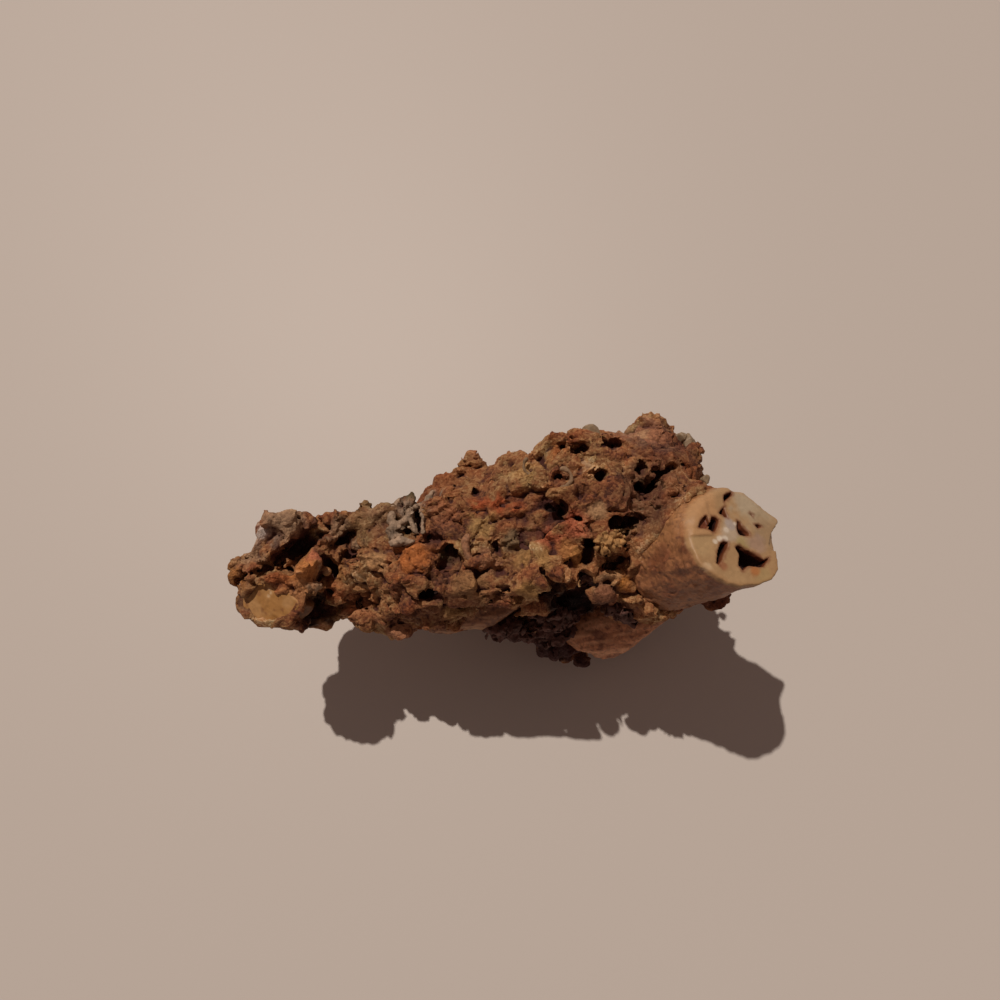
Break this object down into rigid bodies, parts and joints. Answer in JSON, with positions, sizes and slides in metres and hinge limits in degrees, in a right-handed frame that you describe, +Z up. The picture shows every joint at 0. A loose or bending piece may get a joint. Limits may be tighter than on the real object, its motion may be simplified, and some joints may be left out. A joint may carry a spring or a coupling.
{
  "type": "fossil coral specimen",
  "caption": "Knobbly piece of fossil coral that lies on a table: broken pale branches bound in a rough, iron-stained, pitted crust, for display or study.",
  "frame": {"origin": "middle of the specimen's bounding box, at the table that it rests on", "axes": "+X along the specimen towards the thick upper branch, +Y towards its ridge side, +Z up"},
  "size_m": [0.0746, 0.0356, 0.0378],
  "materials": {
    "stained_crust": "matt, crumbly and iron-stained",
    "cream_coral": "satin, worn",
    "tan_coral": "matt, finely ribbed",
    "ochre_coral": "satin broken face"
  },
  "bodies": {
    "root": {"crust": "stained_crust", "upper_branch": "cream_coral", "lower_branch": "tan_coral", "side_branch": "tan_coral", "tip_branch": "ochre_coral"}
  },
  "joints": []
}
